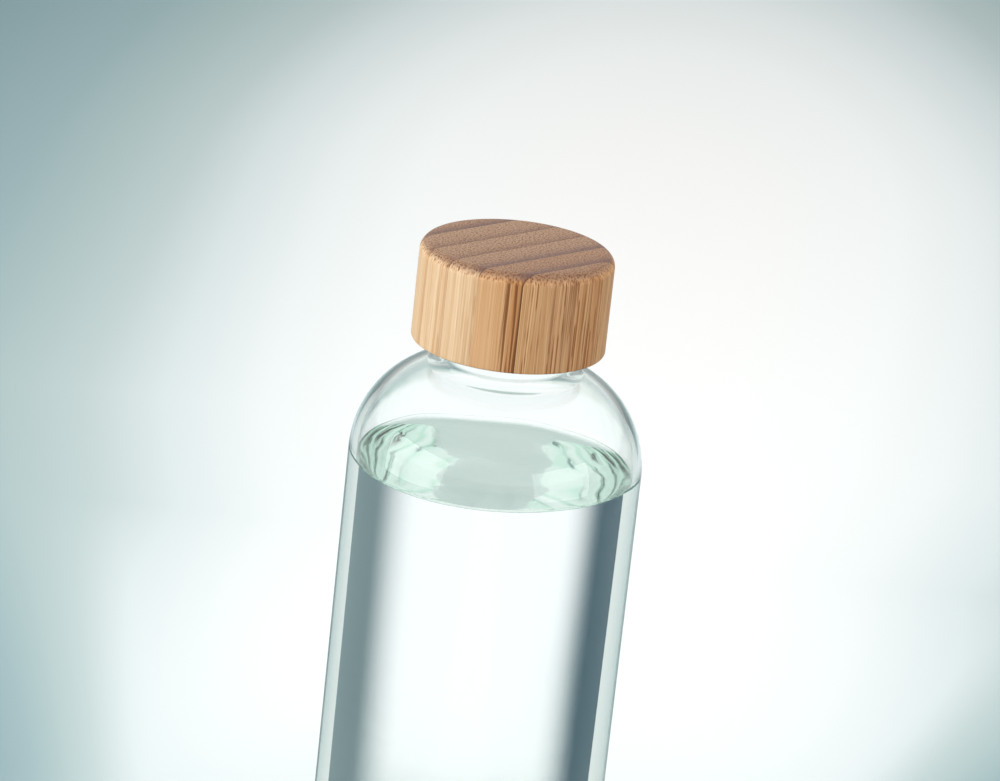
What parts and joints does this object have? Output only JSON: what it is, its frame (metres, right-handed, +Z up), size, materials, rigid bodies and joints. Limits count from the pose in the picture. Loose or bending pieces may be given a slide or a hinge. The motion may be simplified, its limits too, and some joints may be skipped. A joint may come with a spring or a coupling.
{
  "type": "glass water bottle",
  "caption": "Single-wall glass water bottle with a rounded shoulder, a short neck and a screw-on laminated bamboo lid that seals on a silicone gasket.",
  "frame": {"origin": "centre of the base, on the plane of the ring that the bottle stands on", "axes": "+Z up along the bottle's axis, towards the lid; the lid's bamboo strips run along X and lie side by side along Y"},
  "size_m": [0.065, 0.065, 0.22],
  "materials": {
    "glass": "clear blown borosilicate, faintly grey-green at the edges",
    "bamboo": "sanded laminated bamboo with a thin matt oil finish",
    "insert_plastic": "moulded polypropylene, satin",
    "silicone": "translucent white silicone rubber",
    "water": "clear drinking water, drawn only as a fill"
  },
  "bodies": {
    "bottle": {"glass_bottle": "glass"},
    "seal": {"silicone_gasket": "silicone"},
    "lid": {"bamboo_strip_1": "bamboo", "bamboo_strip_2": "bamboo", "bamboo_strip_3": "bamboo", "bamboo_strip_4": "bamboo", "bamboo_strip_5": "bamboo", "bamboo_strip_6": "bamboo", "thread_insert": "insert_plastic"}
  },
  "joints": [
    {"name": "lid_rise", "type": "slide", "parent": "bottle", "child": "seal", "axis": [0, 0, 1], "range_m": [0, 0.02]},
    {"name": "lid_turn", "type": "hinge", "parent": "seal", "child": "lid", "pos_m": [0, 0, 0.2], "axis": [0, 0, 1], "range_deg": [0, 1800]}
  ],
  "couplings": [
    {"joint": "lid_rise", "follows": "lid_turn", "m_per_rad": 0.00063662}
  ]
}
